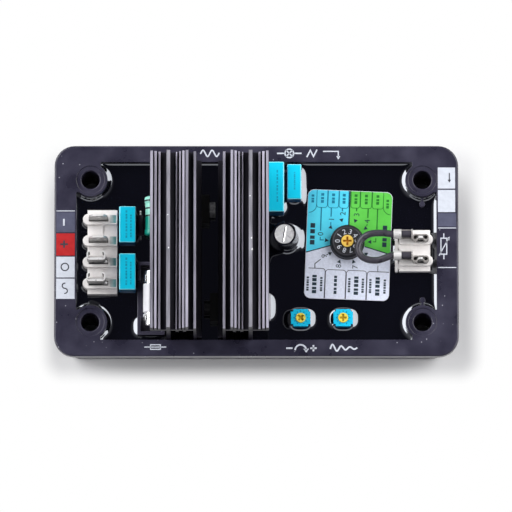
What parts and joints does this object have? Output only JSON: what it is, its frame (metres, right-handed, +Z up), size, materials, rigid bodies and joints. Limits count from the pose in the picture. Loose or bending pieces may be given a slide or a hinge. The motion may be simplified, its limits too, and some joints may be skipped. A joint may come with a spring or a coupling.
{
  "type": "automatic voltage regulator",
  "caption": "Resin-potted generator voltage regulator in a black mounting tray, with finned heat sinks, tab terminals, a fuse, a rotary selector and trimmers.",
  "frame": {"origin": "centre of the tray's underside", "axes": "+X along the tray, from the input terminals to the link terminals; +Y across the tray, from the fuse's side to the filter capacitors' side; +Z up, from the underside to the heat sinks"},
  "size_m": [0.14, 0.074, 0.048],
  "materials": {
    "tray_plastic": "satin moulded plastic",
    "resin": "glossy cast resin",
    "board_laminate": "lacquered laminate",
    "sink_metal": "black finish, bare at the tips",
    "device_plastic": "moulded package",
    "plated_steel": "zinc plated",
    "ivory_plastic": "satin moulded plastic",
    "tinned_metal": "tinned sheet",
    "wire_insulation": "satin insulation",
    "capacitor_blue": "satin moulded box",
    "can_aluminium": "bare drawn metal",
    "sleeve_plastic": "shrunk sleeve",
    "resistor_coating": "lacquer",
    "diode_plastic": "moulded body",
    "snubber_coating": "cement coating",
    "holder_plastic": "satin moulded plastic",
    "fuse_ceramic": "glazed ceramic",
    "fuse_cap_metal": "bright nickel plate",
    "label_film": "printed film",
    "dial_plastic": "moulded plastic",
    "rotor_plastic": "moulded plastic",
    "trimmer_blue": "moulded plastic"
  },
  "bodies": {
    "case": {"case_tray": "tray_plastic", "potting_resin": "resin", "circuit_board": "board_laminate", "heat_sink_left": "sink_metal", "heat_sink_right": "sink_metal", "power_transistor": "device_plastic", "power_diode": "device_plastic", "device_screws": "plated_steel", "device_nuts": "plated_steel", "input_terminal_block": "ivory_plastic", "excitation_negative_tab": "tinned_metal", "excitation_positive_tab": "tinned_metal", "supply_zero_tab": "tinned_metal", "supply_live_tab": "tinned_metal", "link_terminal_block": "ivory_plastic", "link_tab_upper": "tinned_metal", "link_tab_lower": "tinned_metal", "link_receptacle_upper": "tinned_metal", "link_receptacle_lower": "tinned_metal", "link_wire": "wire_insulation", "suppression_capacitor_upper": "capacitor_blue", "suppression_capacitor_lower": "capacitor_blue", "filter_capacitor_large": "capacitor_blue", "filter_capacitor_small": "capacitor_blue", "electrolytic_can": "can_aluminium", "electrolytic_sleeve": "sleeve_plastic", "sensing_resistor": "resistor_coating", "clamp_diode": "diode_plastic", "snubber_resistor": "snubber_coating", "fuse_holder": "holder_plastic", "fuse_clip_upper": "tinned_metal", "fuse_clip_lower": "tinned_metal", "fuse_tube": "fuse_ceramic", "fuse_cap_upper": "fuse_cap_metal", "fuse_cap_lower": "fuse_cap_metal", "setting_label": "label_film", "selector_body": "dial_plastic", "voltage_trimmer_body": "trimmer_blue", "stability_trimmer_body": "trimmer_blue"},
    "selector": {"selector_rotor": "rotor_plastic"},
    "voltage_trimmer": {"voltage_trimmer_rotor": "rotor_plastic"},
    "stability_trimmer": {"stability_trimmer_rotor": "rotor_plastic"}
  },
  "joints": [
    {"name": "selector_turn", "type": "hinge", "parent": "case", "child": "selector", "pos_m": [0.0315, 0.0035, 0.0225], "axis": [0, 0, 1], "continuous": true},
    {"name": "voltage_turn", "type": "hinge", "parent": "case", "child": "voltage_trimmer", "pos_m": [0.0153, -0.02355, 0.0235], "axis": [0, 0, 1], "range_deg": [-135, 135]},
    {"name": "stability_turn", "type": "hinge", "parent": "case", "child": "stability_trimmer", "pos_m": [0.03, -0.02355, 0.0235], "axis": [0, 0, 1], "range_deg": [-135, 135]}
  ]
}
